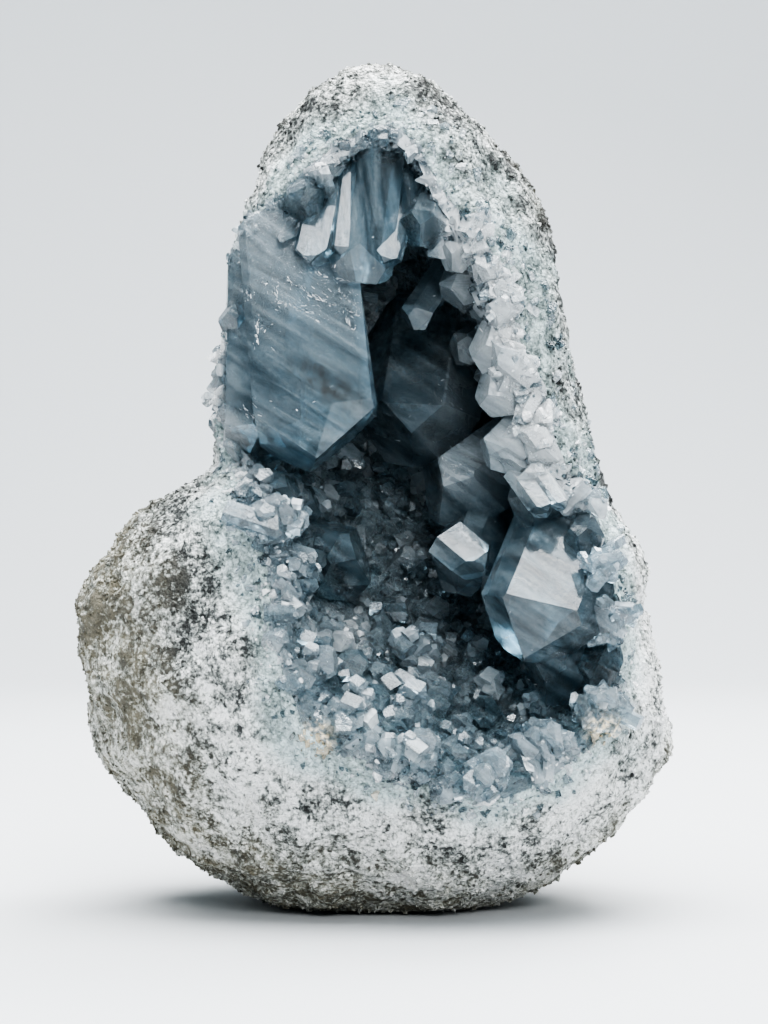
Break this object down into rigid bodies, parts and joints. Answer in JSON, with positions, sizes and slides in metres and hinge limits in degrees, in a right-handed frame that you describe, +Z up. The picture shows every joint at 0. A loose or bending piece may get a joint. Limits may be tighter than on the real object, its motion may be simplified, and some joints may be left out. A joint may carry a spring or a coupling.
{
  "type": "celestite geode",
  "caption": "Pear-shaped nodule of pale granular rock, broken open at the front, with a deep hollow lined by blue-grey celestite crystals; it stands on a small flat spot.",
  "frame": {"origin": "on the surface that the nodule stands on, under the middle of its bounding box", "axes": "+Z up, through the narrow top; +Y from the open side to the back; +X to the right as the open side is seen"},
  "size_m": [0.087, 0.0678, 0.125],
  "materials": {
    "rock": "rough, sugary broken rock",
    "celestite": "clear to cloudy, glassy crystal faces"
  },
  "bodies": {
    "root": {"matrix_rock": "rock", "crystal_crust": "celestite"}
  },
  "joints": []
}
